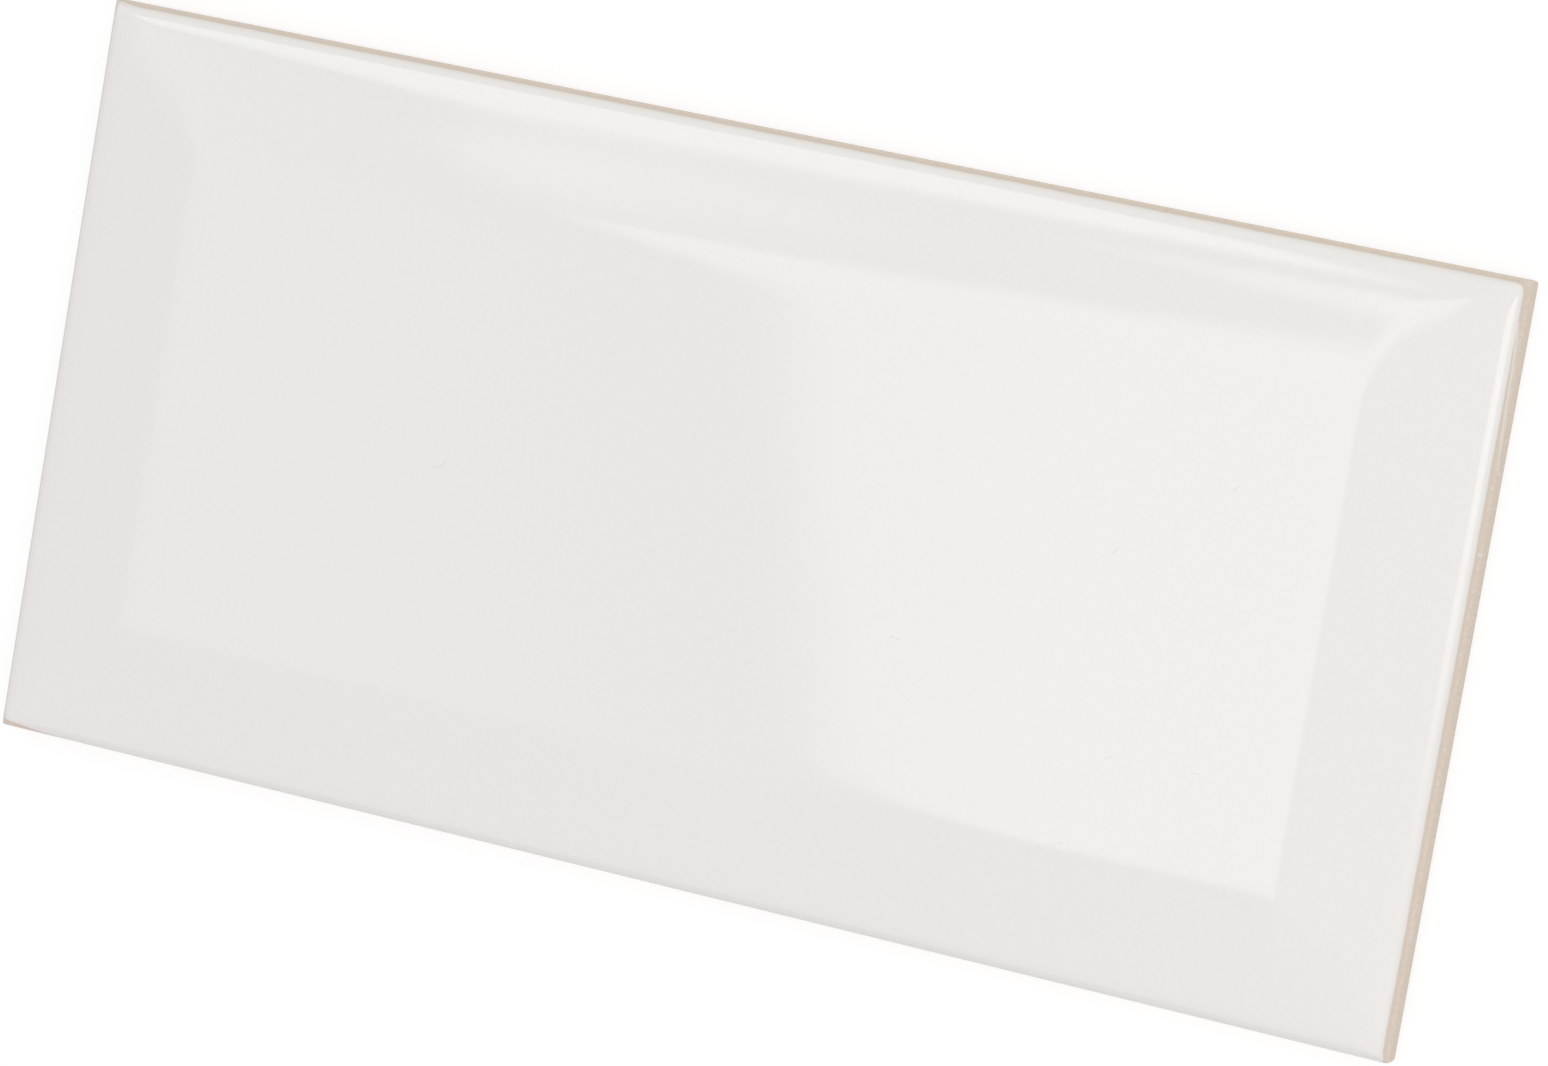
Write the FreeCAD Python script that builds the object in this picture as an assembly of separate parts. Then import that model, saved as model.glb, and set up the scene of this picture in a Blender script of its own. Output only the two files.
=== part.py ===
"""Bevelled subway wall tile, pressed and fired as one piece.

The tile lies on its back with the glazed face up. The origin is the middle of the back,
+X runs along the length, +Y along the width and +Z out of the face. Sizes are in millimetres.
"""
import FreeCAD, Part
import math
import os

# Overall size
TILE_LENGTH = 200.0
TILE_WIDTH = 100.0
TILE_THICKNESS = 8.0

# Bevel round the flat field of the face, measured from the tile's edge to the crease
BEVEL_WIDTH = 17.4
BEVEL_RISE = 2.45
CREASE_RADIUS = 28.0

# Rim, where the bevel rolls over towards the edge
RIM_WIDTH = 3.2
RIM_RISE = 0.8
RIM_RADIUS = 11.0

# Edges of the body
SHOULDER_RADIUS = 2.2
BACK_EDGE_RADIUS = 0.9
CORNER_RADIUS = 0.5

# Keying pockets pressed into the back, which the bed of adhesive grips
KEY_MOUTH = 9.5
KEY_DEPTH = 0.6
KEY_DRAFT = 0.5
KEY_RIB = 3.0
KEY_MARGIN = 7.0

# Heights of the section's corners above the back
EDGE_HEIGHT = TILE_THICKNESS - BEVEL_RISE - RIM_RISE
RIM_HEIGHT = TILE_THICKNESS - BEVEL_RISE


def rounded_wire(corners):
    """Closed wire through the corners (point, radius), each rounded by an arc tangent to its two sides."""
    starts, arcs, ends = [], [], []
    count = len(corners)
    for index, (point, radius) in enumerate(corners):
        before = (corners[index - 1][0] - point).normalize()
        after = (corners[(index + 1) % count][0] - point).normalize()
        half_angle = before.getAngle(after) / 2
        start = point + before * (radius / math.tan(half_angle))
        end = point + after * (radius / math.tan(half_angle))
        inward = (before + after).normalize()
        middle = point + inward * (radius / math.sin(half_angle) - radius)
        starts.append(start)
        arcs.append(Part.Arc(start, middle, end).toShape())
        ends.append(end)
    edges = []
    for index in range(count):
        edges.append(arcs[index])
        edges.append(Part.LineSegment(ends[index], starts[(index + 1) % count]).toShape())
    return Part.Wire(edges)


def section(span, across):
    """Cross-section of the tile over one span, drawn in the plane of the unit vector across and +Z."""
    half = span / 2
    right = [
        (half, 0.0, BACK_EDGE_RADIUS),
        (half, EDGE_HEIGHT, SHOULDER_RADIUS),
        (half - RIM_WIDTH, RIM_HEIGHT, RIM_RADIUS),
        (half - BEVEL_WIDTH, TILE_THICKNESS, CREASE_RADIUS),
    ]
    left = [(-reach, height, radius) for reach, height, radius in reversed(right)]
    corners = []
    for reach, height, radius in right + left:
        corners.append((across * reach + FreeCAD.Vector(0, 0, height), radius))
    return Part.Face(rounded_wire(corners))


def pressed_body():
    """Body with its bevelled face: the sections of the length and of the width, run out and intersected."""
    along = FreeCAD.Vector(1, 0, 0)
    over = FreeCAD.Vector(0, 1, 0)
    lengthwise = section(TILE_LENGTH, along)
    lengthwise.translate(over * (-TILE_WIDTH / 2))
    crosswise = section(TILE_WIDTH, over)
    crosswise.translate(along * (-TILE_LENGTH / 2))
    return lengthwise.extrude(over * TILE_WIDTH).common(crosswise.extrude(along * TILE_LENGTH)).Solids[0]


def upright_edges(body):
    """The four straight edges at the tile's corners, which stand along Z."""
    found = []
    for edge in body.Edges:
        if isinstance(edge.Curve, Part.Line) and abs(edge.Curve.Direction.z) > 0.999:
            found.append(edge)
    return found


def rounded_body():
    """Body with its corners rounded; each fillet runs on round the shoulder and up the mitre to the field."""
    body = pressed_body()
    return body.makeFillet(CORNER_RADIUS, upright_edges(body)).Solids[0]


def key_pocket():
    """One keying pocket at the origin, wider at its mouth in the back than at its floor."""
    levels = []
    for size, height in ((KEY_MOUTH, 0.0), (KEY_MOUTH - 2 * KEY_DRAFT, KEY_DEPTH)):
        levels.append(Part.makePlane(size, size, FreeCAD.Vector(-size / 2, -size / 2, height)).OuterWire)
    return Part.makeLoft(levels, True, True)


def places_along(span):
    """Centres of the pockets over one span, as many as leave the margin at both ends."""
    pitch = KEY_MOUTH + KEY_RIB
    count = int((span - 2 * KEY_MARGIN + KEY_RIB) / pitch)
    return [(index - (count - 1) / 2) * pitch for index in range(count)]


def key_pattern():
    """All the keying pockets of the back as one compound."""
    pocket = key_pocket()
    pockets = []
    for x in places_along(TILE_LENGTH):
        for y in places_along(TILE_WIDTH):
            pockets.append(pocket.translated(FreeCAD.Vector(x, y, 0)))
    return Part.makeCompound(pockets)


tile = rounded_body().cut(key_pattern()).Solids[0]

os.makedirs("parts", exist_ok=True)
tile.exportStep("parts/tile.step")
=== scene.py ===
"""A glazed subway wall tile and a small studio for it, laid out as a Blender add-on and run as a script.

The tile lies on its back: +X runs along its length, +Y along its width and +Z out of the glazed face.
"""
import math
from typing import NamedTuple

import bmesh
import bpy
from mathutils import Matrix, Vector


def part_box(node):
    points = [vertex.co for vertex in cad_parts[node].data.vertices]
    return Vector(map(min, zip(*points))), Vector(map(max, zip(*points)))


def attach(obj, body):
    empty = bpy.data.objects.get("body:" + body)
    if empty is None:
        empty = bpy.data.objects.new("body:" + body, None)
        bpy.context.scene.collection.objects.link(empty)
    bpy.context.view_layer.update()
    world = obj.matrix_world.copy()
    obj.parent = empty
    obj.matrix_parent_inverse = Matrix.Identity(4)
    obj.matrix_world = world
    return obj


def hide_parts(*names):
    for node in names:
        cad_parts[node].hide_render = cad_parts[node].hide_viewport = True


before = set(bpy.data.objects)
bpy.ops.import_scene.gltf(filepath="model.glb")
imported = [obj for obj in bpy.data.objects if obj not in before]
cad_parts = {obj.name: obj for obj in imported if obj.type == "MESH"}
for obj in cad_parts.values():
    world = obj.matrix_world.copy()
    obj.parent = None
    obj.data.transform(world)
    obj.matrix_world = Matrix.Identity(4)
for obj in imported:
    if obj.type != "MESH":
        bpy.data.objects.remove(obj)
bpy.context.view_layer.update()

bl_info = {
    "name": "Glazed Subway Tile",
    "version": (1, 0, 0),
    "blender": (4, 5, 0),
    "location": "3D View > Sidebar > Tile",
    "description": "Models a bevelled wall tile with glaze and bare biscuit edges, and its studio",
    "category": "Object",
}

MM = 0.001

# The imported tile, which the model is fitted to
TILE_LOW, TILE_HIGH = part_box("tile")
TILE_LENGTH, TILE_WIDTH, TILE_THICKNESS = TILE_HIGH - TILE_LOW
HALF_LENGTH = TILE_LENGTH / 2
HALF_WIDTH = TILE_WIDTH / 2

# Section of the face from the field to the edge: distance in from the edge in mm, slope there in degrees
SECTION = (
    (22.5, 0.0), (20.5, 0.3), (19.3, 1.2), (18.4, 2.7), (17.7, 4.5), (17.0, 6.5), (16.3, 8.9),
    (15.5, 9.2), (14.0, 9.35), (11.5, 9.9), (9.1, 9.72), (7.5, 9.25), (6.4, 8.93), (5.4, 9.1),
    (4.6, 9.5), (4.0, 10.2), (3.3, 11.3), (2.4, 13.6), (1.9, 17.0), (1.5, 22.5), (1.1, 30.0),
    (0.55, 46.0), (0.0, 68.0),
)
SECTION_BEVEL = 17.7 * MM

# Making of the face: spacing of the cuts over the field, slack when a vertex is picked by its place,
# drop of a mitre's ridge at full weight, and levels of rounding
FIELD_SPACING = 8.0 * MM
PICK_SLACK = 0.01 * MM
MITRE_DROP = 1.0 * MM
SOFTEN_LEVELS = 2

# Slow waves of the fired glaze: span, layers of finer waves, and how far in from the edge they set in and
# are full
WAVE_SPAN = 9.0 * MM
WAVE_LAYERS = 1
WAVE_START = 3.0 * MM
WAVE_FULL = 9.0 * MM

# Sides and back: a side goes down to its foot in rings, the rings of the edge (distance in and height) turn
# it in under the back, and a border is left round the keyed sheet. All but the count are in the edge's radii.
SIDE_RINGS = 3
SIDE_FOOT = 2.0
BACK_EDGE = ((0.0, 1.0), (1 / 6, 1 / 6), (1.0, 0.0), (2.0, 0.0), (3.0, 0.0))
BACK_BORDER = 4.0

# Worn edges of the keying pockets: the least turn that is an edge, and the width and steps of the wear
KEY_EDGE_TURN = math.radians(15)
KEY_WEAR = 0.16 * MM
KEY_WEAR_STEPS = 2

# Faces that meet at a smaller turn than this are shaded as one
SMOOTH_TURN = math.radians(40)

# The line where the glaze ends: its waves, as features per metre and height, and the share of the tile's
# half length and width over which it changes its height at the far left and the near right corner
LINE_WAVES = ((140.0, 0.14 * MM), (900.0, 0.08 * MM))
LINE_STEP = 0.03

# Bare sliver at the near left corner: where it begins and where it is full, along +X and +Y, and how far
# the glaze line rises there
SLIVER_X = (13.0 * MM - HALF_LENGTH, 1.0 * MM - HALF_LENGTH)
SLIVER_Y = (1.5 * MM - HALF_WIDTH, 0.8 * MM - HALF_WIDTH)
SLIVER_RISE = 1.4 * MM

# Runs and specks of glaze on the bare right end, as their ways and places in mm along +Y and +Z
GLAZE_RUNS = (
    (
        (44.5, 4.5), (42.0, 4.27), (38.0, 4.12), (34.0, 4.05),
        (30.0, 3.85), (26.2, 3.55), (25.5, 3.2), (25.3, 2.0),
    ),
    ((15.2, 4.0), (15.2, 3.3)),
    ((-33.9, 3.6), (-32.6, 3.3)),
)
GLAZE_SPECKS = (
    (23.7, 3.85), (21.2, 3.7), (10.6, 3.9), (5.2, 3.9), (2.5, 3.9),
    (-9.4, 3.8), (-13.9, 3.8), (-21.9, 3.7), (-29.6, 3.45),
)
RUN_WIDTH = 0.3 * MM
RUN_COVER = 0.75
SPECK_WIDTH = 0.4 * MM
SPECK_COVER = 0.6

# Dark hairs and dots fired into the glaze of the face, as their ways and places in mm along +X and +Y
HAIRS = (
    ((-40.9, -2.05), (-39.65, -1.8), (-39.35, -1.4), (-39.2, -0.9)),
    ((26.33, -10.42), (27.03, -10.58), (27.67, -10.58)),
    ((68.2, 16.9), (68.3, 17.4), (68.7, 17.7)),
    ((53.9, 6.1), (54.5, 6.9)),
    ((57.6, -19.7), (58.4, -19.15)),
    ((69.3, -18.9), (70.2, -18.9)),
    ((53.45, -31.6), (53.95, -31.5)),
)
DOTS = ((75.9, 17.9), (72.5, 2.4), (70.9, -4.8), (76.3, -33.1))
HAIR_WIDTH = 0.14 * MM
DOT_WIDTH = 0.26 * MM

# Where a stroke fades out, from its middle and as shares of its width, and a distance in metres from any
# stroke that is more than the tile has
STROKE_FADE = (0.25, 0.75)
STROKE_FAR = 1.0

# Bands over which the finish changes: by height above the glaze line (coat and stain), by distance in from
# the tile's edge (thin glaze, darkened with painted shade over the rim, and gloss), and by place along +X
# (rim of the left end, its thin glaze darkened with more painted shade)
COAT_BAND = (-0.12 * MM, 0.06 * MM)
STAIN_BAND = (-0.85 * MM, -0.1 * MM)
THIN_GLAZE_AND_SHADE_BAND = (0.1 * MM, 1.35 * MM)
GLOSS_BAND = (0.1 * MM, 0.8 * MM)
LEFT_RIM_GLAZE_AND_SHADE_BAND = (1.15 * MM - HALF_LENGTH, 0.35 * MM - HALF_LENGTH)

# Grain of the biscuit and mottle of the glaze: features per metre, and the darkest and the lightest shade
GRAIN_SCALE = 1800.0
GRAIN_DETAIL = 4.0
GRAIN_SPREAD = (0.3, 0.7)
GRAIN_SHADES = (0.95, 1.05)
MOTTLE_SCALE = 1500.0
MOTTLE_SHADES = (0.976, 1.024)

# Bump in mm: the edge of the glaze coat and the grain of the biscuit
COAT_HEIGHT = 0.08
GRAIN_HEIGHT = 0.10
GLAZE_IOR = 1.52

# The room: which way it grows lighter, the lean over which its tint changes, and the tints at its ends
ROOM_LEAN = (0.05, 0.055, 0.0)
ROOM_TINT_LEAN = 0.05
ROOM_TINTS = ((1.0, 0.985, 1.0), (0.99, 1.0, 0.97))

# The room as the glaze mirrors it: what is left of it at the horizon, and the height of a direction at
# which it is whole again
HORIZON_SHARE = 0.7
HORIZON_TOP = 0.5

# Round windows low over the room, in degrees: bearing and rise of the middle, and half the width
WINDOWS = ((146.0, 29.0, 12.5), (-36.0, 22.0, 10.5))
WINDOW_FADE = 1.5

# The floor: its size in metres, its gap under the tile, and the level that it is lit up to
FLOOR_SIZE = 6.0
FLOOR_GAP = 0.02 * MM
FLOOR_LEVEL = 1.1

# The camera: width of the photograph's frame in pixels and of the sensor in mm, and where its sight starts
FRAME_WIDTH = 1548
SENSOR_WIDTH = 36.0
CLIP_START = 10 * MM

# Tints of the softboxes, the colour of their fringe, and the power that makes its first edge steep
COOL = (0.89, 1.0, 1.09)
WHITE = (1.0, 1.0, 1.0)
GREEN = (0.85, 1.1, 0.65)
VIOLET = (1.1, 0.7, 2.0)
FRINGE = (0.42, 1.0, 0.62)
FRINGE_POWER = 0.6


class Softbox(NamedTuple):
    """One light overhead, with its plan in mm and its radiance as a share of the studio's softbox light.

    An edge is the bearing that it faces in degrees, how far out it lies on that bearing and the width of
    its fade in mm. Where there is a fringe, the light comes up through its colour, and steeply at the first
    edge. The lift sets it above the others that it overlaps, because a ray that meets two lights at one
    height sees only one of them. A softbox that doesn't fill shows in the glaze and leaves the rest of the
    light to the room.
    """

    name: str
    lift: float
    span_x: tuple
    span_y: tuple
    edges: tuple
    radiance: float
    tint: tuple
    fringe: tuple = None
    fills: bool = True


SOFTBOXES = (
    Softbox(
        "main_softbox", 0, (-410, 60), (-380, 290),
        ((14.8, -313, 37), (196.4, 34, 64), (-82.2, -264.2, 19), (114.2, -190, 125)),
        0.85, COOL, FRINGE, fills=False),
    Softbox(
        "far_softbox", 4, (-780, -40), (180, 680),
        ((40.9, -155, 38), (105.0, 336, 98), (207.7, 1, 50), (-90.0, -638, 65)),
        1.1, COOL, FRINGE, fills=False),
    Softbox(
        "side_softbox", 0, (330, 920), (-220, 150),
        ((0.0, 351, 30), (180.0, -880, 60), (90.0, -128, 150)),
        1.1, WHITE),
    Softbox(
        "green_panel", 8, (-160, 1100), (-300, 900),
        ((16.4, -34, 64),),
        0.07, GREEN),
    Softbox(
        "near_panel", 0, (-480, 300), (-800, -375),
        ((-90.0, 420, 90), (0.0, -300, 350)),
        0.08, VIOLET),
    Softbox(
        "left_panel", 12, (-760, -290), (-400, 330),
        ((196.7, 402, 140), (0.0, -690, 120), (90.0, -330, 120)),
        0.19, WHITE, fills=False),
)


class TileShape(bpy.types.PropertyGroup):
    """Sizes of the tile's section and of its keyed back."""

    bevel_width: bpy.props.FloatProperty(
        name="Bevel width", description="From the tile's edge to the crease round the flat field",
        default=SECTION_BEVEL, min=5.0 * MM, unit="LENGTH")
    steepness: bpy.props.FloatProperty(
        name="Steepness", description="Steepness of bevel and rim against the section's own",
        default=1.0, min=0.1, max=1.5, subtype="FACTOR")
    mitre_reach: bpy.props.FloatProperty(
        name="Mitre reach", description="How far the ridges between the bevels are rounded at their widest",
        default=6.8 * MM, min=0.1 * MM, unit="LENGTH")
    far_lean: bpy.props.FloatProperty(
        name="Far side lean", description="How far the far side leans in towards its foot",
        default=0.22 * MM, min=0.0, unit="LENGTH")
    back_round: bpy.props.FloatProperty(
        name="Back edge radius", description="Radius of the edge between the sides and the back",
        default=0.9 * MM, min=0.1 * MM, unit="LENGTH")
    flow_height: bpy.props.FloatProperty(
        name="Glaze flow", description="Height of the slow waves in the fired glaze",
        default=0.012 * MM, min=0.001 * MM, unit="LENGTH")
    key_mouth: bpy.props.FloatProperty(
        name="Key mouth", description="Width of a keying pocket at the back",
        default=9.5 * MM, min=1.0 * MM, unit="LENGTH")
    key_depth: bpy.props.FloatProperty(
        name="Key depth", description="Depth of a keying pocket",
        default=0.6 * MM, min=0.0, unit="LENGTH")
    key_draft: bpy.props.FloatProperty(
        name="Key draft", description="How far a pocket's walls lean in",
        default=0.5 * MM, min=0.0, unit="LENGTH")
    key_rib: bpy.props.FloatProperty(
        name="Key rib", description="Width of the ribs between the pockets",
        default=3.0 * MM, min=0.2 * MM, unit="LENGTH")
    key_margin: bpy.props.FloatProperty(
        name="Key margin", description="Least plain border round the pockets",
        default=7.0 * MM, min=0.0, unit="LENGTH")


class TileFinish(bpy.types.PropertyGroup):
    """Colours and gloss of the tile, and where its glaze ends."""

    glaze_colour: bpy.props.FloatVectorProperty(
        name="Glaze", description="Colour of the white glaze",
        default=(0.831, 0.801, 0.794), subtype="COLOR", size=3, min=0.0, max=1.0)
    # Darker over the rim: partly the thin glaze's own colour, partly painted shade where the rim turns away
    # from the light
    thin_glaze_and_shade_colour: bpy.props.FloatVectorProperty(
        name="Thin glaze", description="Colour where the glaze runs thin over the rim",
        default=(0.750, 0.715, 0.700), subtype="COLOR", size=3, min=0.0, max=1.0)
    # Painted shade on the left end's rim, where it turns away from the light, over its thin glaze
    left_rim_glaze_and_shade_colour: bpy.props.FloatVectorProperty(
        name="Left rim", description="Colour of the thinnest glaze, on the rim of the left end",
        default=(0.600, 0.570, 0.560), subtype="COLOR", size=3, min=0.0, max=1.0)
    biscuit_colour: bpy.props.FloatVectorProperty(
        name="Biscuit", description="Colour of the bare fired clay",
        default=(0.717, 0.615, 0.540), subtype="COLOR", size=3, min=0.0, max=1.0)
    stain_colour: bpy.props.FloatVectorProperty(
        name="Stained biscuit", description="Colour of the bare clay close under the glaze",
        default=(0.667, 0.566, 0.492), subtype="COLOR", size=3, min=0.0, max=1.0)
    fleck_colour: bpy.props.FloatVectorProperty(
        name="Flecks", description="Colour of the hairs and dots fired into the glaze",
        default=(0.735, 0.715, 0.700), subtype="COLOR", size=3, min=0.0, max=1.0)
    glaze_roughness: bpy.props.FloatProperty(
        name="Glaze roughness", description="Blur of the glaze's reflections",
        default=0.035, min=0.0, max=1.0)
    rim_roughness: bpy.props.FloatProperty(
        name="Rim roughness", description="Blur of the reflections in the thin glaze of the rim",
        default=0.45, min=0.0, max=1.0)
    biscuit_roughness: bpy.props.FloatProperty(
        name="Biscuit roughness", description="Mattness of the bare clay",
        default=0.92, min=0.0, max=1.0)
    glaze_line: bpy.props.FloatProperty(
        name="Glaze line", description="Height where the glaze ends on the far side and the right end",
        default=4.52 * MM, min=0.0, unit="LENGTH")
    glaze_line_low: bpy.props.FloatProperty(
        name="Lower glaze line",
        description="Height where the glaze ends on the near side and the left end",
        default=3.3 * MM, min=0.0, unit="LENGTH")


class TileStudio(bpy.types.PropertyGroup):
    """Floor, light and camera."""

    floor_colour: bpy.props.FloatVectorProperty(
        name="Floor", description="Colour of the plain floor",
        default=(0.8, 0.8, 0.8), subtype="COLOR", size=3, min=0.0, max=1.0)
    floor_shadow: bpy.props.FloatProperty(
        name="Floor shadow", description="How strongly the tile's shadow shows on the floor",
        default=0.35, min=0.0, max=1.0, subtype="FACTOR")
    room_light: bpy.props.FloatProperty(
        name="Room light", description="Strength of the even light all round",
        default=0.89, min=0.0)
    window_light: bpy.props.FloatProperty(
        name="Window light", description="Radiance of the windows above the room's own",
        default=0.7, min=0.0)
    softbox_light: bpy.props.FloatProperty(
        name="Softbox light", description="Radiance of the softboxes above the room's own",
        default=1.8, min=0.0)
    softbox_height: bpy.props.FloatProperty(
        name="Softbox height", description="Height of the softboxes above the floor",
        default=808 * MM, unit="LENGTH")
    camera_place: bpy.props.FloatVectorProperty(
        name="Camera place", description="Where the camera stands",
        default=(325.7 * MM, 109.0 * MM, 814.7 * MM), subtype="TRANSLATION", unit="LENGTH", size=3)
    camera_aim: bpy.props.FloatVectorProperty(
        name="Camera aim", description="The point of the tile's face in the middle of the picture",
        default=(8.2 * MM, -0.75 * MM, 8.0 * MM), subtype="TRANSLATION", unit="LENGTH", size=3)
    camera_roll: bpy.props.FloatProperty(
        name="Camera roll", description="Turn of the camera about its line of sight",
        default=math.radians(-97.94), subtype="ANGLE", unit="ROTATION")
    focal_pixels: bpy.props.FloatProperty(
        name="Focal length in pixels", description="Focal length in pixels of the photograph's frame",
        default=6792.0, min=100.0)


def select(piece, kind, test):
    """Select the vertices, edges or faces that pass the test, and nothing else, in edit mode."""
    bpy.ops.mesh.select_mode(type=kind)
    bpy.ops.mesh.select_all(action="DESELECT")
    mesh = bmesh.from_edit_mesh(piece.data)
    elements = {"VERT": mesh.verts, "EDGE": mesh.edges, "FACE": mesh.faces}
    for element in elements[kind]:
        element.select = test(element)
    mesh.select_flush_mode()
    bmesh.update_edit_mesh(piece.data)


def start_sheet(name, size_x, size_y, height):
    """A flat sheet of that size at that height, left in edit mode."""
    bpy.ops.object.select_all(action="DESELECT")
    bpy.ops.mesh.primitive_plane_add(size=1.0)
    piece = bpy.context.active_object
    piece.name = name
    piece.data.name = name
    bpy.ops.object.mode_set(mode="EDIT")
    bpy.ops.mesh.select_all(action="SELECT")
    bpy.ops.transform.resize(value=(size_x, size_y, 1.0), center_override=(0.0, 0.0, 0.0))
    bpy.ops.transform.translate(value=(0.0, 0.0, height))
    return piece


def cut_lines(normal, places):
    """Cut the mesh in edit mode across the normal at each place."""
    for place in places:
        bpy.ops.mesh.select_all(action="SELECT")
        bpy.ops.mesh.bisect(plane_co=normal * place, plane_no=normal)


def face_rings(shape):
    """The rings that hold the face, from the edge to the field: distance in from the edge, and height."""
    stretch = shape.bevel_width / SECTION_BEVEL
    height = TILE_THICKNESS
    rings = []
    for step, (inset, slope) in enumerate(SECTION):
        if step > 0:
            last_inset, last_slope = SECTION[step - 1]
            run = (last_inset - inset) * MM * stretch
            height -= run * shape.steepness * math.tan(math.radians((slope + last_slope) / 2))
        rings.append((inset * MM * stretch, height))
    return rings[::-1]


def face_height(rings, inset):
    """Height of the section at a distance in from the edge, on the straight between two rings."""
    for (near, low), (far, high) in zip(rings, rings[1:]):
        if inset < far:
            return low + (high - low) * (inset - near) / (far - near)
    return rings[-1][1]


def grid_lines(span, rings):
    """Places of the cuts over one span: the rings from both edges, and even lines over the field."""
    held = [span / 2 - inset for inset, _ in rings if inset > 0.0]
    field = min(held)
    count = round(2 * field / FIELD_SPACING)
    even = [field * (2 * step / count - 1) for step in range(1, count)]
    return [-place for place in held] + even + held


def model_face(rings):
    """The glazed face: a sheet cut into rings whose inner parts are lifted one ring at a time."""
    piece = start_sheet("glazed_tile", TILE_LENGTH, TILE_WIDTH, rings[0][1])
    cut_lines(Vector((1, 0, 0)), grid_lines(TILE_LENGTH, rings))
    cut_lines(Vector((0, 1, 0)), grid_lines(TILE_WIDTH, rings))
    for (_, low), (inset, high) in zip(rings, rings[1:]):
        half_x = HALF_LENGTH - inset + PICK_SLACK
        half_y = HALF_WIDTH - inset + PICK_SLACK
        select(piece, "VERT", lambda vertex: abs(vertex.co.x) < half_x and abs(vertex.co.y) < half_y)
        bpy.ops.transform.translate(value=(0.0, 0.0, high - low))
    return piece


def side_rings(shape, top):
    """The rings of the sides, from the face down and in under the back: distance in, and height."""
    radius = shape.back_round
    drop = SIDE_FOOT * radius - top
    down = [(0.0, top + drop * step / SIDE_RINGS) for step in range(1, SIDE_RINGS + 1)]
    under = [(inset * radius, height * radius) for inset, height in BACK_EDGE]
    return down + under


def model_sides(piece, shape, top):
    """The sides: the face's border drawn down in rings and turned in under the back."""
    select(piece, "EDGE", lambda edge: edge.is_boundary)
    height = top
    size = Vector((TILE_LENGTH, TILE_WIDTH, 1.0))
    lean = 0.0
    for inset, new_height in side_rings(shape, top):
        bpy.ops.mesh.extrude_edges_move(TRANSFORM_OT_translate={"value": (0.0, 0.0, new_height - height)})
        new_lean = shape.far_lean * min((top - new_height) / (top - shape.back_round), 1.0)
        new_size = Vector((TILE_LENGTH - 2 * inset, TILE_WIDTH - 2 * inset - new_lean, 1.0))
        factors = (new_size.x / size.x, new_size.y / size.y, 1.0)
        bpy.ops.transform.resize(value=factors, center_override=(0.0, -lean / 2, new_height))
        bpy.ops.transform.translate(value=(0.0, (lean - new_lean) / 2, 0.0))
        height, size, lean = new_height, new_size, new_lean
    bpy.ops.object.mode_set(mode="OBJECT")


def soften_mitres(piece, shape, rings):
    """Round the ridges between the bevels, widest half-way down and sharp at the field and the edge."""
    middle = shape.bevel_width / 2
    group = piece.vertex_groups.new(name="mitre")
    for vertex in piece.data.vertices:
        inset_x = HALF_LENGTH - abs(vertex.co.x)
        inset_y = HALF_WIDTH - abs(vertex.co.y)
        near = min(inset_x, inset_y)
        # A parabola joins the two slopes where they are within reach of each other
        reach = shape.mitre_reach * (1.0 - ((near - middle) / middle) ** 2)
        overlap = reach - abs(inset_x - inset_y)
        if vertex.co.z > rings[0][1] and reach > 0.0 and overlap > 0.0:
            sunk = near - overlap ** 2 / (4 * reach)
            drop = face_height(rings, near) - face_height(rings, sunk)
            group.add([vertex.index], drop / MITRE_DROP, "REPLACE")
    bpy.ops.object.modifier_add(type="DISPLACE")
    modifier = piece.modifiers[-1]
    modifier.vertex_group = group.name
    modifier.direction = "Z"
    modifier.mid_level = 0.0
    modifier.strength = -MITRE_DROP
    bpy.ops.object.modifier_apply(modifier=modifier.name)
    piece.vertex_groups.clear()


def soften(piece):
    """Round the rings into one soft surface, as the fired glaze does."""
    bpy.ops.object.modifier_add(type="SUBSURF")
    modifier = piece.modifiers[-1]
    modifier.levels = SOFTEN_LEVELS
    modifier.render_levels = SOFTEN_LEVELS
    bpy.ops.object.modifier_apply(modifier=modifier.name)


def ripple_glaze(piece, shape, rings):
    """Slow waves in the glaze, which bend the edges of its reflections."""
    group = piece.vertex_groups.new(name="glaze")
    low = face_height(rings, WAVE_START)
    high = face_height(rings, WAVE_FULL)
    for vertex in piece.data.vertices:
        share = (vertex.co.z - low) / (high - low)
        if share > 0.0:
            group.add([vertex.index], min(share, 1.0), "REPLACE")
    waves = bpy.data.textures.new("glaze_waves", "CLOUDS")
    waves.noise_scale = WAVE_SPAN
    waves.noise_depth = WAVE_LAYERS
    bpy.ops.object.modifier_add(type="DISPLACE")
    modifier = piece.modifiers[-1]
    modifier.texture = waves
    modifier.texture_coords = "LOCAL"
    modifier.vertex_group = group.name
    modifier.direction = "Z"
    modifier.strength = shape.flow_height
    bpy.ops.object.modifier_apply(modifier=modifier.name)
    piece.vertex_groups.clear()
    bpy.data.textures.remove(waves)


def key_places(span, shape):
    """Centres of the keying pockets over one span."""
    pitch = shape.key_mouth + shape.key_rib
    count = int((span - 2 * shape.key_margin + shape.key_rib) / pitch)
    return [(index - (count - 1) / 2) * pitch for index in range(count)]


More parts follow.
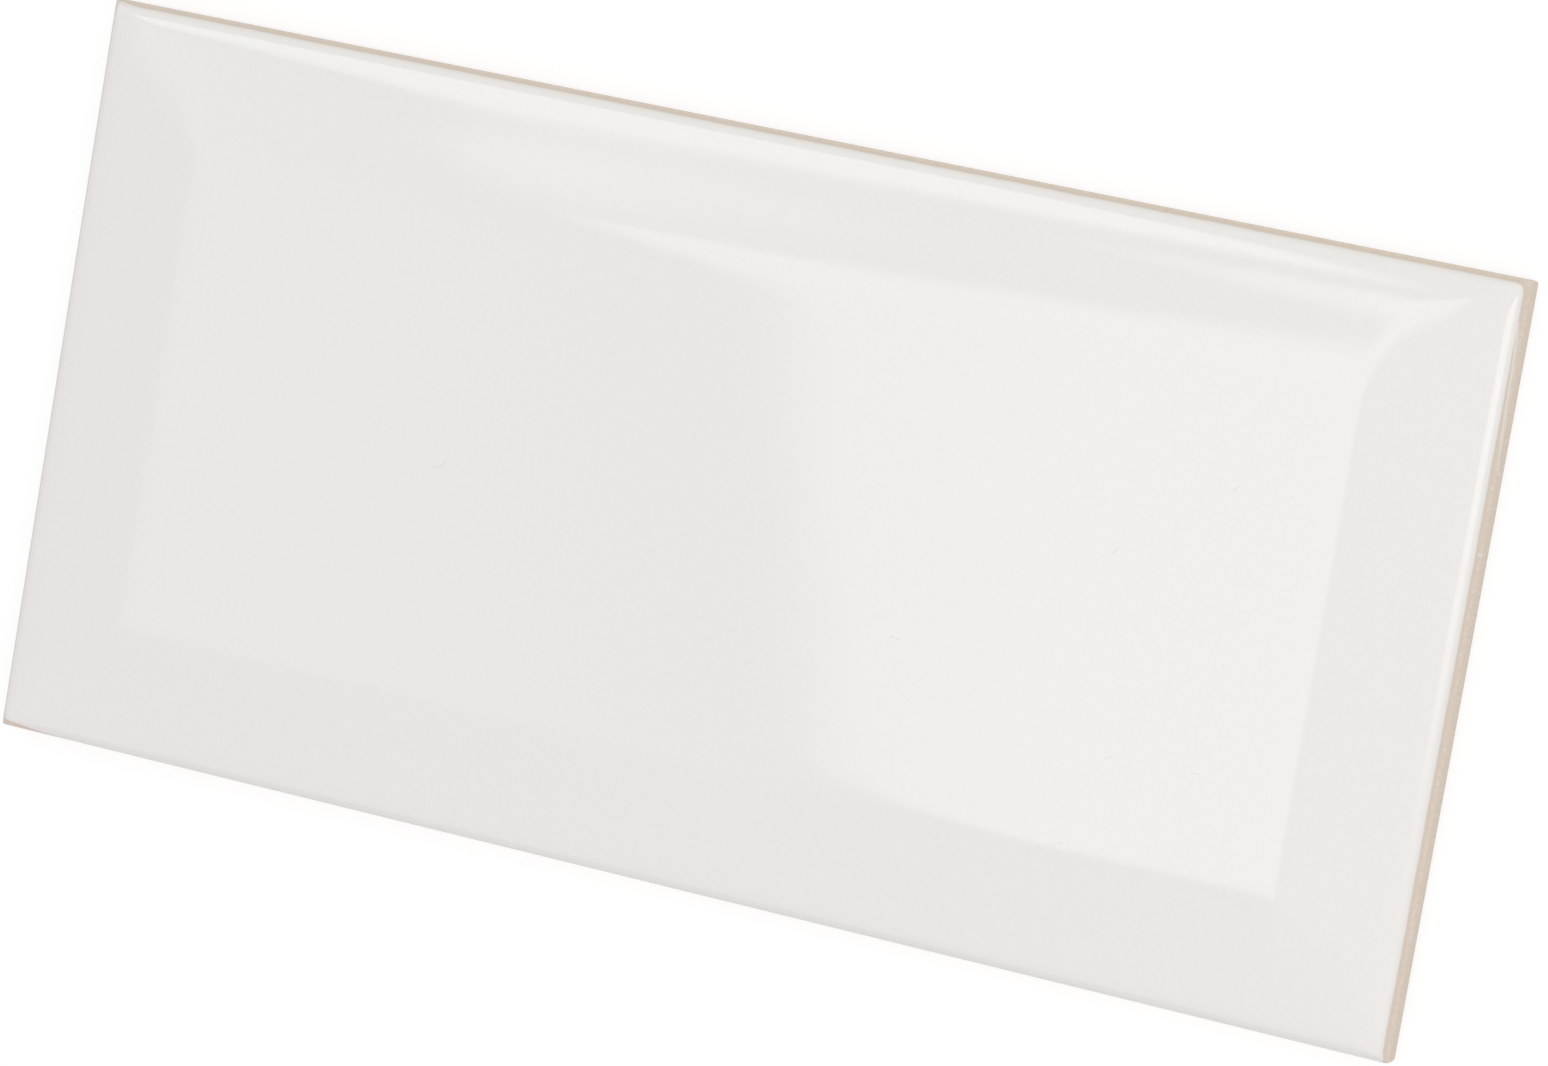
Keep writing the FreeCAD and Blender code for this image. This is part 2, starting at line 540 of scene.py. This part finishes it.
def model_back(shape):
    """The back: a sheet with drafted keying pockets pressed into it."""
    border = BACK_BORDER * shape.back_round
    plate = start_sheet("keyed_back", TILE_LENGTH - 2 * border, TILE_WIDTH - 2 * border, 0.0)
    half_mouth = shape.key_mouth / 2
    centres = (key_places(TILE_LENGTH, shape), key_places(TILE_WIDTH, shape))
    for axis in (0, 1):
        normal = Vector((0, 0, 0))
        normal[axis] = 1.0
        cut_lines(normal, [centre + side * half_mouth for centre in centres[axis] for side in (-1, 1)])
    bpy.ops.mesh.select_all(action="SELECT")
    bpy.ops.mesh.flip_normals()

    def in_mouth(place, axis):
        return any(abs(place[axis] - centre) < half_mouth for centre in centres[axis])

    def in_pocket(face):
        middle = face.calc_center_median()
        return in_mouth(middle, 0) and in_mouth(middle, 1)

    select(plate, "FACE", in_pocket)
    bpy.ops.mesh.inset(thickness=shape.key_draft, depth=-shape.key_depth, use_individual=True)
    select(plate, "EDGE", lambda edge: edge.is_manifold and edge.calc_face_angle() > KEY_EDGE_TURN)
    bpy.ops.mesh.bevel(offset=KEY_WEAR, segments=KEY_WEAR_STEPS, affect="EDGES")
    bpy.ops.object.mode_set(mode="OBJECT")
    return plate


def close_back(piece, plate):
    """Join the keyed back to the sides and fill the flat ring between them."""
    bpy.ops.object.select_all(action="DESELECT")
    plate.select_set(True)
    piece.select_set(True)
    bpy.context.view_layer.objects.active = piece
    bpy.ops.object.join()
    bpy.ops.object.mode_set(mode="EDIT")
    select(piece, "EDGE", lambda edge: edge.is_boundary)
    bpy.ops.mesh.fill(use_beauty=True)
    bpy.ops.mesh.select_all(action="SELECT")
    bpy.ops.mesh.normals_make_consistent(inside=False)
    bpy.ops.object.mode_set(mode="OBJECT")
    bpy.ops.object.shade_smooth_by_angle(angle=SMOOTH_TURN)


class NodeTree:
    """Adds nodes to a tree and joins them, so that a finish reads from top to bottom."""

    def __init__(self, tree):
        self.tree = tree
        tree.nodes.clear()

    def put(self, socket, value):
        """Give an input a value, or join it to another node's socket."""
        if isinstance(value, bpy.types.NodeSocket):
            self.tree.links.new(value, socket)
        else:
            socket.default_value = value

    def add(self, kind, inputs=(), **settings):
        """A node of that kind with its settings; inputs gives values or sockets by name or number."""
        node = self.tree.nodes.new(kind)
        for name, value in settings.items():
            setattr(node, name, value)
        for name, value in dict(inputs).items():
            self.put(node.inputs[name], value)
        return node

    def maths(self, operation, first, second=0.0, third=0.0):
        """The result of one step of arithmetic."""
        node = self.add("ShaderNodeMath", {0: first, 1: second, 2: third}, operation=operation)
        return node.outputs[0]

    def vectors(self, operation, first, second):
        """The vector or the number that one step of arithmetic with vectors gives."""
        second_input = "Scale" if operation == "SCALE" else 1
        node = self.add("ShaderNodeVectorMath", {0: first, second_input: second}, operation=operation)
        return node.outputs["Value" if operation in ("DOT_PRODUCT", "DISTANCE") else "Vector"]

    def ramp(self, value, low, high, to_low=0.0, to_high=1.0):
        """A smooth step of the value between two limits."""
        inputs = {"Value": value, "From Min": low, "From Max": high, "To Min": to_low, "To Max": to_high}
        return self.add("ShaderNodeMapRange", inputs, interpolation_type="SMOOTHSTEP").outputs[0]

    def mix(self, factor, first, second):
        """A colour between two colours. The node has inputs of other kinds too, so they go by number."""
        node = self.add("ShaderNodeMix", data_type="RGBA")
        for number, value in ((0, factor), (6, first), (7, second)):
            self.put(node.inputs[number], value)
        return node.outputs[2]

    def noise(self, place, scale, detail=2.0):
        """Noise of about one feature per 1 / scale metres."""
        inputs = {"Vector": place, "Scale": scale, "Detail": detail}
        return self.add("ShaderNodeTexNoise", inputs).outputs["Fac"]


def colour(value, factor=1.0):
    """A colour with its alpha, made lighter or darker by the factor."""
    return (value[0] * factor, value[1] * factor, value[2] * factor, 1.0)


def strokes(nodes, spot, ways, width):
    """How much strokes of that width cover a spot, along ways of points in mm. One point makes a dot."""
    gap = STROKE_FAR
    for way in ways:
        for start, end in zip(way, way[1:] or way):
            start = Vector((*start, 0.0)) * MM
            run = Vector((*end, 0.0)) * MM - start
            past = nodes.vectors("SUBTRACT", spot, start)
            nearest = (0.0, 0.0, 0.0)
            if run.length > 0.0:
                share = nodes.vectors("DOT_PRODUCT", past, run / run.length_squared)
                share = nodes.add("ShaderNodeClamp", {"Value": share}).outputs[0]
                nearest = nodes.vectors("SCALE", run, share)
            gap = nodes.maths("MINIMUM", nodes.vectors("DISTANCE", past, nearest), gap)
    inner, outer = STROKE_FADE
    return nodes.ramp(gap, inner * width, outer * width, 1.0, 0.0)


def spots(nodes, spot, places, width):
    """How much round dots of that width cover a spot, at places in mm."""
    return strokes(nodes, spot, [(place,) for place in places], width)


def glaze_spill(nodes, axes):
    """How much glaze lies on the bare right end, in the runs and the specks below the glaze line."""
    spot = nodes.add("ShaderNodeCombineXYZ", {"X": axes["Y"], "Y": axes["Z"]}).outputs[0]
    runs = nodes.maths("MULTIPLY", strokes(nodes, spot, GLAZE_RUNS, RUN_WIDTH), RUN_COVER)
    specks = nodes.maths("MULTIPLY", spots(nodes, spot, GLAZE_SPECKS, SPECK_WIDTH), SPECK_COVER)
    on_right = nodes.maths("GREATER_THAN", axes["X"], 0.0)
    return nodes.maths("MULTIPLY", nodes.maths("MAXIMUM", runs, specks), on_right)


def above_glaze_line(nodes, place, axes, finish):
    """How far above the wandering line where the glaze ends a place lies."""
    along = nodes.maths("DIVIDE", axes["X"], HALF_LENGTH)
    across = nodes.maths("DIVIDE", axes["Y"], HALF_WIDTH)
    lean = nodes.maths("ADD", along, across)
    line = nodes.ramp(lean, -LINE_STEP, LINE_STEP, finish.glaze_line_low, finish.glaze_line)
    for scale, height in LINE_WAVES:
        wave = nodes.maths("SUBTRACT", nodes.noise(place, scale), 0.5)
        line = nodes.maths("MULTIPLY_ADD", wave, height, line)
    sliver = nodes.maths("MULTIPLY", nodes.ramp(axes["X"], *SLIVER_X), nodes.ramp(axes["Y"], *SLIVER_Y))
    line = nodes.maths("MULTIPLY_ADD", sliver, SLIVER_RISE, line)
    return nodes.maths("SUBTRACT", axes["Z"], line)


def edge_distance(nodes, axes):
    """How far in from the nearest edge of the tile a place is, seen from above."""
    from_end = nodes.maths("SUBTRACT", HALF_LENGTH, nodes.maths("ABSOLUTE", axes["X"]))
    from_side = nodes.maths("SUBTRACT", HALF_WIDTH, nodes.maths("ABSOLUTE", axes["Y"]))
    return nodes.maths("MINIMUM", from_end, from_side)


def shades(nodes, factor, base, limits):
    """The base colour between its darkest and its lightest shade."""
    dark, light = limits
    return nodes.mix(factor, colour(base, dark), colour(base, light))


def bare_biscuit(nodes, over, grain, finish):
    """Colour of the bare clay: grainy, and stained close under the glaze."""
    biscuit = shades(nodes, nodes.ramp(grain, *GRAIN_SPREAD), finish.biscuit_colour, GRAIN_SHADES)
    return nodes.mix(nodes.ramp(over, *STAIN_BAND), biscuit, colour(finish.stain_colour))


def fired_glaze(nodes, place, axes, inset, finish):
    """Colour of the glaze: faintly mottled, thin over the rim, thinnest at the left end, and flecked; the
    rim, most of all at the left end, is darkened with painted shade.
    """
    glaze = shades(nodes, nodes.noise(place, MOTTLE_SCALE), finish.glaze_colour, MOTTLE_SHADES)
    # Painted shade, with the thin glaze's own colour, darkens the rim
    glaze = nodes.mix(nodes.ramp(inset, *THIN_GLAZE_AND_SHADE_BAND), colour(finish.thin_glaze_and_shade_colour), glaze)
    # More painted shade darkens the rim of the left end
    glaze = nodes.mix(nodes.ramp(axes["X"], *LEFT_RIM_GLAZE_AND_SHADE_BAND), glaze, colour(finish.left_rim_glaze_and_shade_colour))
    spot = nodes.add("ShaderNodeCombineXYZ", {"X": axes["X"], "Y": axes["Y"]}).outputs[0]
    hairs = strokes(nodes, spot, HAIRS, HAIR_WIDTH)
    dots = spots(nodes, spot, DOTS, DOT_WIDTH)
    return nodes.mix(nodes.maths("MAXIMUM", hairs, dots), glaze, colour(finish.fleck_colour))


def tile_roughness(nodes, cover, inset, finish):
    """Roughness: matt on the clay, glossy on the glaze, and less glossy where it is thin over the rim."""
    gloss = nodes.ramp(inset, *GLOSS_BAND, finish.rim_roughness, finish.glaze_roughness)
    change = nodes.maths("SUBTRACT", gloss, finish.biscuit_roughness)
    return nodes.maths("MULTIPLY_ADD", cover, change, finish.biscuit_roughness)


def tile_bump(nodes, coated, grain):
    """Bump of the coat's edge, and of the grain where the clay is bare."""
    coat = nodes.maths("MULTIPLY", coated, COAT_HEIGHT)
    bare = nodes.maths("SUBTRACT", 1.0, coated)
    grains = nodes.maths("MULTIPLY", nodes.maths("MULTIPLY", grain, bare), GRAIN_HEIGHT)
    height = nodes.maths("ADD", coat, grains)
    return nodes.add("ShaderNodeBump", {"Strength": 1.0, "Distance": MM, "Height": height}).outputs[0]


def tile_material(finish):
    """White glaze over pale biscuit, in one finish."""
    material = bpy.data.materials.new("white_glaze_on_biscuit")
    material.use_nodes = True
    nodes = NodeTree(material.node_tree)
    place = nodes.add("ShaderNodeTexCoord").outputs["Object"]
    axes = nodes.add("ShaderNodeSeparateXYZ", {0: place}).outputs
    over = above_glaze_line(nodes, place, axes, finish)
    inset = edge_distance(nodes, axes)
    coated = nodes.ramp(over, *COAT_BAND)
    cover = nodes.maths("MAXIMUM", coated, glaze_spill(nodes, axes))
    grain = nodes.noise(place, GRAIN_SCALE, GRAIN_DETAIL)
    biscuit = bare_biscuit(nodes, over, grain, finish)
    glaze = fired_glaze(nodes, place, axes, inset, finish)
    shader = nodes.add("ShaderNodeBsdfPrincipled", {
        "Base Color": nodes.mix(cover, biscuit, glaze),
        "Roughness": tile_roughness(nodes, cover, inset, finish),
        "IOR": GLAZE_IOR,
        "Normal": tile_bump(nodes, coated, grain),
    })
    nodes.add("ShaderNodeOutputMaterial", {"Surface": shader.outputs[0]})
    return material


def floor_material(studio):
    """Plain floor, lit up to white where it is looked at, with the tile's soft shadow kept."""
    material = bpy.data.materials.new("plain_floor")
    material.use_nodes = True
    nodes = NodeTree(material.node_tree)
    rays = nodes.add("ShaderNodeLightPath").outputs
    looked_at = nodes.maths("MAXIMUM", rays["Is Camera Ray"], rays["Is Glossy Ray"])
    looked_at = nodes.maths("MAXIMUM", looked_at, rays["Is Transmission Ray"])
    card = nodes.add("ShaderNodeBsdfDiffuse", {"Color": colour(studio.floor_colour)})
    dark_card = colour(studio.floor_colour, studio.floor_shadow)
    shaded = nodes.add("ShaderNodeBsdfDiffuse", {"Color": dark_card})
    lit_up = FLOOR_LEVEL - studio.floor_shadow
    glow = nodes.add("ShaderNodeEmission", {"Color": colour(WHITE), "Strength": lit_up})
    white = nodes.add("ShaderNodeAddShader", {0: shaded.outputs[0], 1: glow.outputs[0]})
    shader = nodes.add("ShaderNodeMixShader", {0: looked_at, 1: card.outputs[0], 2: white.outputs[0]})
    nodes.add("ShaderNodeOutputMaterial", {"Surface": shader.outputs[0]})
    return material


def direction(bearing, rise=0.0):
    """The direction at a bearing from +X and a rise, both in degrees."""
    turn = math.radians(bearing)
    lift = math.radians(rise)
    return Vector((math.cos(lift) * math.cos(turn), math.cos(lift) * math.sin(turn), math.sin(lift)))


def mirrored_room(nodes, way, room, studio):
    """The room as the glaze mirrors it: darker towards the horizon, and with the windows."""
    height = nodes.add("ShaderNodeSeparateXYZ", {0: way}).outputs["Z"]
    mirrored = nodes.maths("MULTIPLY", room, nodes.ramp(height, 0.0, HORIZON_TOP, HORIZON_SHARE, 1.0))
    for bearing, rise, reach in WINDOWS:
        nearness = nodes.vectors("DOT_PRODUCT", way, direction(bearing, rise))
        outside = math.cos(math.radians(reach + WINDOW_FADE))
        inside = math.cos(math.radians(reach - WINDOW_FADE))
        window = nodes.ramp(nearness, outside, inside, 0.0, studio.window_light)
        mirrored = nodes.maths("ADD", mirrored, window)
    return mirrored


def room_light(studio):
    """Even light all round, a little stronger from the right and the far side."""
    world = bpy.data.worlds.new("studio_room")
    world.use_nodes = True
    nodes = NodeTree(world.node_tree)
    way = nodes.add("ShaderNodeTexCoord").outputs["Generated"]
    lean = nodes.vectors("DOT_PRODUCT", way, ROOM_LEAN)
    near_tint, far_tint = ROOM_TINTS
    tint_share = nodes.ramp(lean, -ROOM_TINT_LEAN, ROOM_TINT_LEAN)
    tint = nodes.mix(tint_share, colour(near_tint), colour(far_tint))
    room = nodes.maths("MULTIPLY", nodes.maths("ADD", lean, 1.0), studio.room_light)
    change = nodes.maths("SUBTRACT", mirrored_room(nodes, way, room, studio), room)
    in_glaze = nodes.add("ShaderNodeLightPath").outputs["Is Glossy Ray"]
    strength = nodes.maths("MULTIPLY_ADD", change, in_glaze, room)
    light = nodes.add("ShaderNodeBackground", {"Color": tint, "Strength": strength})
    nodes.add("ShaderNodeOutputWorld", {"Surface": light.outputs[0]})
    bpy.context.scene.world = world


def softbox_glow(nodes, box, low, size):
    """Light a softbox inside its edges only, through the colour of its fringe where it has one."""
    spot = nodes.add("ShaderNodeNewGeometry").outputs["Parametric"]
    strength = 1.0
    tint = colour(WHITE)
    for number, (bearing, out, fade) in enumerate(box.edges):
        facing = direction(bearing)
        depth = nodes.vectors("DOT_PRODUCT", spot, facing * size)
        edge = out * MM - facing.dot(low)
        rise = nodes.ramp(depth, edge - fade * MM / 2, edge + fade * MM / 2)
        if box.fringe:
            tint = nodes.mix(rise, colour(box.fringe), tint)
        if box.fringe and number == 0:
            rise = nodes.maths("POWER", rise, FRINGE_POWER)
        strength = nodes.maths("MULTIPLY", rise, strength)
    glow = nodes.add("ShaderNodeEmission", {"Color": tint, "Strength": strength})
    nodes.add("ShaderNodeOutputLight", {"Surface": glow.outputs[0]})


def hang_softbox(box, studio):
    """Hang one softbox overhead, over the spans of its plan."""
    (left, right), (near, far) = box.span_x, box.span_y
    low = Vector((left, near, 0.0)) * MM
    size = Vector((right - left, far - near, 0.0)) * MM
    middle = low + size / 2
    height = studio.softbox_height + box.lift * MM
    bpy.ops.object.light_add(type="AREA", location=(middle.x, middle.y, height))
    lamp = bpy.context.active_object
    lamp.name = box.name
    lamp.visible_camera = False
    lamp.visible_diffuse = box.fills
    light = lamp.data
    light.name = box.name
    light.shape = "RECTANGLE"
    light.size = size.x
    light.size_y = size.y
    light.energy = box.radiance * studio.softbox_light * math.pi * size.x * size.y
    light.color = box.tint
    light.use_nodes = True
    softbox_glow(NodeTree(light.node_tree), box, low, size)


def studio_camera(studio):
    """The camera at the photograph's place, with its roll."""
    bpy.ops.object.camera_add(location=studio.camera_place)
    camera = bpy.context.active_object
    camera.name = "studio_camera"
    sight = Vector(studio.camera_aim) - Vector(studio.camera_place)
    facing = sight.to_track_quat("-Z", "Y").to_matrix()
    camera.rotation_euler = (facing @ Matrix.Rotation(studio.camera_roll, 3, "Z")).to_euler()
    camera.data.sensor_width = SENSOR_WIDTH
    camera.data.lens = SENSOR_WIDTH * studio.focal_pixels / FRAME_WIDTH
    camera.data.clip_start = CLIP_START
    bpy.context.scene.camera = camera


class OBJECT_OT_model_glazed_tile(bpy.types.Operator):
    """Model the tile with its soft bevels, sides and keyed back, and give it its glaze"""

    bl_idname = "object.model_glazed_tile"
    bl_label = "Model Glazed Tile"
    bl_options = {"REGISTER", "UNDO"}

    def execute(self, context):
        shape = context.scene.tile_shape
        rings = face_rings(shape)
        piece = model_face(rings)
        model_sides(piece, shape, rings[0][1])
        soften_mitres(piece, shape, rings)
        soften(piece)
        ripple_glaze(piece, shape, rings)
        close_back(piece, model_back(shape))
        piece.data.materials.append(tile_material(context.scene.tile_finish))
        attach(piece, "root")
        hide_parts("tile")
        return {"FINISHED"}


class OBJECT_OT_set_up_tile_studio(bpy.types.Operator):
    """Lay the floor and set the lights and the camera"""

    bl_idname = "object.set_up_tile_studio"
    bl_label = "Set Up Tile Studio"
    bl_options = {"REGISTER", "UNDO"}

    def execute(self, context):
        studio = context.scene.tile_studio
        bpy.ops.object.select_all(action="DESELECT")
        bpy.ops.mesh.primitive_plane_add(size=FLOOR_SIZE, location=(0.0, 0.0, -FLOOR_GAP))
        floor = context.active_object
        floor.name = "studio_floor"
        floor.data.materials.append(floor_material(studio))
        room_light(studio)
        for box in SOFTBOXES:
            hang_softbox(box, studio)
        studio_camera(studio)
        context.scene.view_settings.view_transform = "Standard"
        return {"FINISHED"}


class VIEW3D_PT_glazed_tile(bpy.types.Panel):
    """The tile's sizes, finish and studio in the sidebar"""

    bl_label = "Glazed Tile"
    bl_idname = "VIEW3D_PT_glazed_tile"
    bl_space_type = "VIEW_3D"
    bl_region_type = "UI"
    bl_category = "Tile"

    def draw(self, context):
        layout = self.layout
        for group in (context.scene.tile_shape, context.scene.tile_finish, context.scene.tile_studio):
            column = layout.column(align=True)
            for name in group.__annotations__:
                column.prop(group, name)
        for operator in OPERATORS:
            layout.operator(operator.bl_idname)


OPERATORS = (OBJECT_OT_model_glazed_tile, OBJECT_OT_set_up_tile_studio)
CLASSES = (TileShape, TileFinish, TileStudio, *OPERATORS, VIEW3D_PT_glazed_tile)


def register():
    """Register the classes and hang the settings on the scene."""
    for cls in CLASSES:
        bpy.utils.register_class(cls)
    bpy.types.Scene.tile_shape = bpy.props.PointerProperty(type=TileShape)
    bpy.types.Scene.tile_finish = bpy.props.PointerProperty(type=TileFinish)
    bpy.types.Scene.tile_studio = bpy.props.PointerProperty(type=TileStudio)


def unregister():
    """Take the settings off the scene and unregister the classes."""
    del bpy.types.Scene.tile_studio
    del bpy.types.Scene.tile_finish
    del bpy.types.Scene.tile_shape
    for cls in reversed(CLASSES):
        bpy.utils.unregister_class(cls)


def main():
    """Register the add-on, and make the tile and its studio."""
    register()
    bpy.ops.object.model_glazed_tile()
    bpy.ops.object.set_up_tile_studio()


if __name__ == "__main__":
    main()
